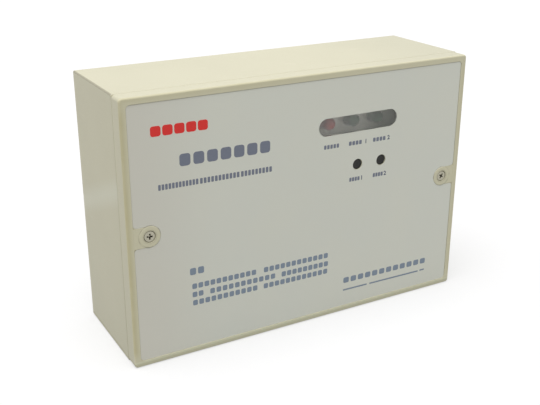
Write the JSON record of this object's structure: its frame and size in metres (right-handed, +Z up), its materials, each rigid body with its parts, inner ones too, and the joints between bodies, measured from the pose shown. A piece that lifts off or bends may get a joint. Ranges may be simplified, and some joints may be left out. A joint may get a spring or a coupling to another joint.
{
  "type": "surge protection box",
  "caption": "Wall-mounted surge protection box: two-part moulded case, smoked indicator window, push-to-test buttons, cable grommets and inner circuit boards.",
  "frame": {"origin": "centre of the footprint, on the surface that the box stands on", "axes": "+X to the right seen from the front, the front faces -Y, +Z up"},
  "size_m": [0.29, 0.095, 0.2],
  "materials": {
    "case_plastic": "moulded ivory ABS, fine matt texture",
    "label_film": "silver-grey printed polyester film",
    "smoked_pane": "smoked, frosted acrylic",
    "gasket_rubber": "black foam rubber",
    "grommet_rubber": "black moulded rubber",
    "zinc_steel": "zinc-plated steel",
    "brass": "turned brass",
    "board_laminate": "glass-epoxy laminate, green mask",
    "red_epoxy": "clear red epoxy",
    "green_epoxy": "clear green epoxy",
    "black_plastic": "black nylon",
    "button_plastic": "black moulded ABS",
    "resistor_lacquer": "tan lacquer",
    "white_plastic": "natural nylon",
    "ribbon_vinyl": "grey flat vinyl lead",
    "terminal_plastic": "grey glass-filled nylon",
    "green_plastic": "green nylon",
    "varistor_epoxy": "blue epoxy coating",
    "ceramic_white": "white alumina",
    "capacitor_case": "yellow moulded case",
    "relay_case": "black moulded case"
  },
  "bodies": {
    "case": {"rear_box": "case_plastic", "front_cover": "case_plastic", "cover_gasket": "gasket_rubber", "front_label": "label_film", "indicator_window": "smoked_pane", "cable_grommet": "grommet_rubber", "cover_screws": "zinc_steel", "cover_screw_seals": "gasket_rubber", "cover_screw_inserts": "brass", "indicator_board": "board_laminate", "indicator_board_screws": "zinc_steel", "fault_led": "red_epoxy", "normal_led_1": "green_epoxy", "normal_led_2": "green_epoxy", "led_spacers": "black_plastic", "led_resistors": "resistor_lacquer", "test_switch_1": "black_plastic", "test_switch_2": "black_plastic", "indicator_board_header": "white_plastic", "main_board": "board_laminate", "main_board_screws": "zinc_steel", "main_board_header": "white_plastic", "ribbon_plugs": "white_plastic", "ribbon_lead": "ribbon_vinyl", "mains_terminal_block": "terminal_plastic", "terminal_clamps": "brass", "terminal_screws": "zinc_steel", "alarm_terminal_block": "green_plastic", "alarm_terminal_screws": "zinc_steel", "varistor_1": "varistor_epoxy", "varistor_2": "varistor_epoxy", "varistor_3": "varistor_epoxy", "thermal_cutout_1": "ceramic_white", "thermal_cutout_2": "ceramic_white", "gas_discharge_tube": "ceramic_white", "fuse_clips": "brass", "fuse_tubes": "ceramic_white", "fuse_caps": "zinc_steel", "film_capacitor": "capacitor_case", "alarm_relay": "relay_case"},
    "test_button_1": {"test_button_1": "button_plastic"},
    "test_button_2": {"test_button_2": "button_plastic"}
  },
  "joints": [
    {"name": "test_button_1_press", "type": "slide", "parent": "case", "child": "test_button_1", "axis": [0, 1, 0], "range_m": [0, 0.0015], "stiffness_N_per_m": 800},
    {"name": "test_button_2_press", "type": "slide", "parent": "case", "child": "test_button_2", "axis": [0, 1, 0], "range_m": [0, 0.0015], "stiffness_N_per_m": 800}
  ]
}
